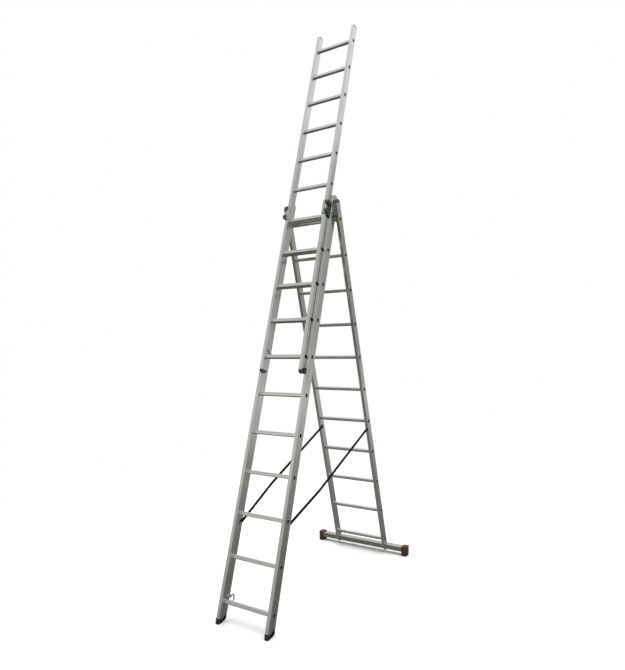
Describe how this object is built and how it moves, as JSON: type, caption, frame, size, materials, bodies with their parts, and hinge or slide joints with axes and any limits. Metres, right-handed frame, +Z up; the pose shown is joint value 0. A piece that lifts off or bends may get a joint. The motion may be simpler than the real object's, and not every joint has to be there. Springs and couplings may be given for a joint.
{
  "type": "combination ladder",
  "caption": "Three-section aluminium combination ladder: hinged step-ladder base with stabiliser bar and straps, and a sliding top section.",
  "frame": {"origin": "on the floor, in the middle of the ladder's footprint as it stands open", "axes": "+Z up, -Y towards the side the climber faces, +X to the right seen from the front"},
  "size_m": [0.87, 1.7994, 4.5787],
  "materials": {
    "stile_front": "satin extruded",
    "stile_rear": "satin extruded",
    "stile_top": "satin extruded",
    "rung": "satin extruded",
    "bar": "satin extruded",
    "rubber": "matte moulded",
    "cap_grey": "moulded",
    "cap_dark": "moulded",
    "cap_red": "moulded",
    "steel": "zinc plated",
    "catch": "moulded",
    "bolt": "zinc plated",
    "webbing": "woven"
  },
  "bodies": {
    "front_section": {"front_stile_left": "stile_front", "front_stile_right": "stile_front", "front_rung_1": "rung", "front_rung_2": "rung", "front_rung_3": "rung", "front_rung_4": "rung", "front_rung_5": "rung", "front_rung_6": "rung", "front_rung_7": "rung", "front_rung_8": "rung", "front_rung_9": "rung", "front_rung_10": "rung", "front_rung_11": "rung", "front_feet": "rubber", "front_top_caps": "cap_grey", "hinge_plates": "steel", "guide_brackets": "steel", "front_fasteners": "steel", "strap_left": "webbing", "strap_right": "webbing"},
    "rear_section": {"rear_stile_left": "stile_rear", "rear_stile_right": "stile_rear", "rear_rung_1": "rung", "rear_rung_2": "rung", "rear_rung_3": "rung", "rear_rung_4": "rung", "rear_rung_5": "rung", "rear_rung_6": "rung", "rear_rung_7": "rung", "rear_rung_8": "rung", "rear_rung_9": "rung", "rear_rung_10": "rung", "rear_rung_11": "rung", "rear_top_caps": "cap_dark", "stabiliser_bar": "bar", "stabiliser_caps": "cap_red", "stabiliser_soles": "rubber", "stabiliser_bolts": "bolt", "rear_strap_bolts": "steel"},
    "top_section": {"top_stile_left": "stile_top", "top_stile_right": "stile_top", "top_rung_1": "rung", "top_rung_2": "rung", "top_rung_3": "rung", "top_rung_4": "rung", "top_rung_5": "rung", "top_rung_6": "rung", "top_rung_7": "rung", "top_rung_8": "rung", "top_rung_9": "rung", "top_rung_10": "rung", "top_rung_11": "rung", "top_section_caps": "cap_dark", "hook_pins": "steel", "lower_guides": "cap_dark"},
    "safety_catch_left": {"safety_catch_left": "catch"},
    "safety_catch_right": {"safety_catch_right": "catch"},
    "rung_hook_left": {"rung_hook_left": "steel"},
    "rung_hook_right": {"rung_hook_right": "steel"},
    "storage_hook": {"storage_hook": "steel"}
  },
  "joints": [
    {"name": "fold", "type": "hinge", "parent": "front_section", "child": "rear_section", "pos_m": [0, 0.01687, 2.80499], "axis": [1, 0, 0], "range_deg": [-33.08, 0], "deforming": ["strap_left", "strap_right"]},
    {"name": "extend", "type": "slide", "parent": "front_section", "child": "top_section", "axis": [0, 0.2807, 0.9598], "range_m": [-1.68, 0]},
    {"name": "catch_left_swing", "type": "hinge", "parent": "front_section", "child": "safety_catch_left", "pos_m": [-0.195, -0.07678, 2.87665], "axis": [0, -0.2807, -0.9598], "range_deg": [0, 60]},
    {"name": "catch_right_swing", "type": "hinge", "parent": "front_section", "child": "safety_catch_right", "pos_m": [0.195, -0.07678, 2.87665], "axis": [0, 0.2807, 0.9598], "range_deg": [0, 60]},
    {"name": "hook_left_lift", "type": "hinge", "parent": "top_section", "child": "rung_hook_left", "pos_m": [-0.1525, -0.38465, 1.78675], "axis": [1, 0, 0], "range_deg": [0, 60]},
    {"name": "hook_right_lift", "type": "hinge", "parent": "top_section", "child": "rung_hook_right", "pos_m": [0.1525, -0.38465, 1.78675], "axis": [1, 0, 0], "range_deg": [0, 60]},
    {"name": "storage_hook_lift", "type": "hinge", "parent": "front_section", "child": "storage_hook", "pos_m": [-0.179, -0.80369, 0.14852], "axis": [1, 0, 0], "range_deg": [0, 70]}
  ]
}
